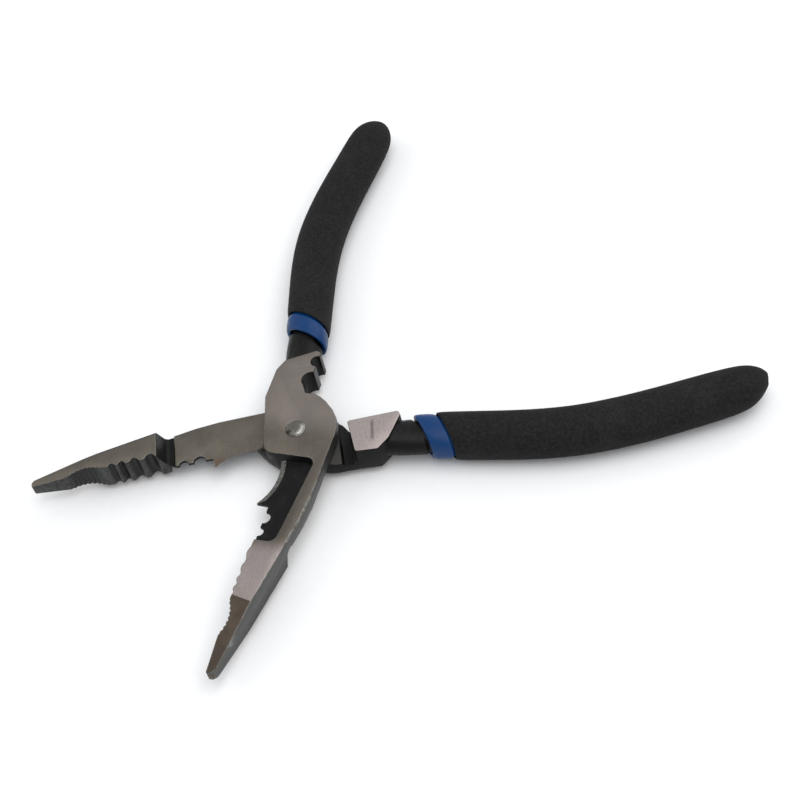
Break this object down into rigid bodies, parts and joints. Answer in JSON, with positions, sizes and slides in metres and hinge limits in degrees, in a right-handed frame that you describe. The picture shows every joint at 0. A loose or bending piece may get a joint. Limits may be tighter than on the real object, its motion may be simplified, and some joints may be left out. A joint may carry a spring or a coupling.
{
  "type": "needle nose pliers",
  "caption": "Long nose pliers with crimping waves, a shear blade with stripping notches, crimping nests behind the joint, and foam grips with plain collars.",
  "frame": {"origin": "under the pivot, on the surface that the pliers lie on", "axes": "+Z along the pivot towards the front, domed side of the rivet; +Y between the two open jaws, towards their tips; +X to the right, on the rear jaw's side"},
  "size_m": [0.171, 0.1633, 0.0126],
  "materials": {
    "ground_steel": "forged carbon steel, ground bright on the faces, with black painted recesses and shanks",
    "rivet_steel": "plain turned steel, domed in front",
    "blue_dip": "smooth dipped vinyl with a soft gloss",
    "black_foam": "matt foamed vinyl with a fine grain"
  },
  "bodies": {
    "rear_half": {"rear_lever": "ground_steel", "rear_sleeve": "blue_dip", "rear_grip": "black_foam", "pivot_rivet": "rivet_steel"},
    "front_half": {"front_lever": "ground_steel", "front_sleeve": "blue_dip", "front_grip": "black_foam"}
  },
  "joints": [
    {"name": "jaw_pivot", "type": "hinge", "parent": "rear_half", "child": "front_half", "pos_m": [0, 0, 0.0063], "axis": [0, 0, 1], "range_deg": [-67, 34]}
  ]
}
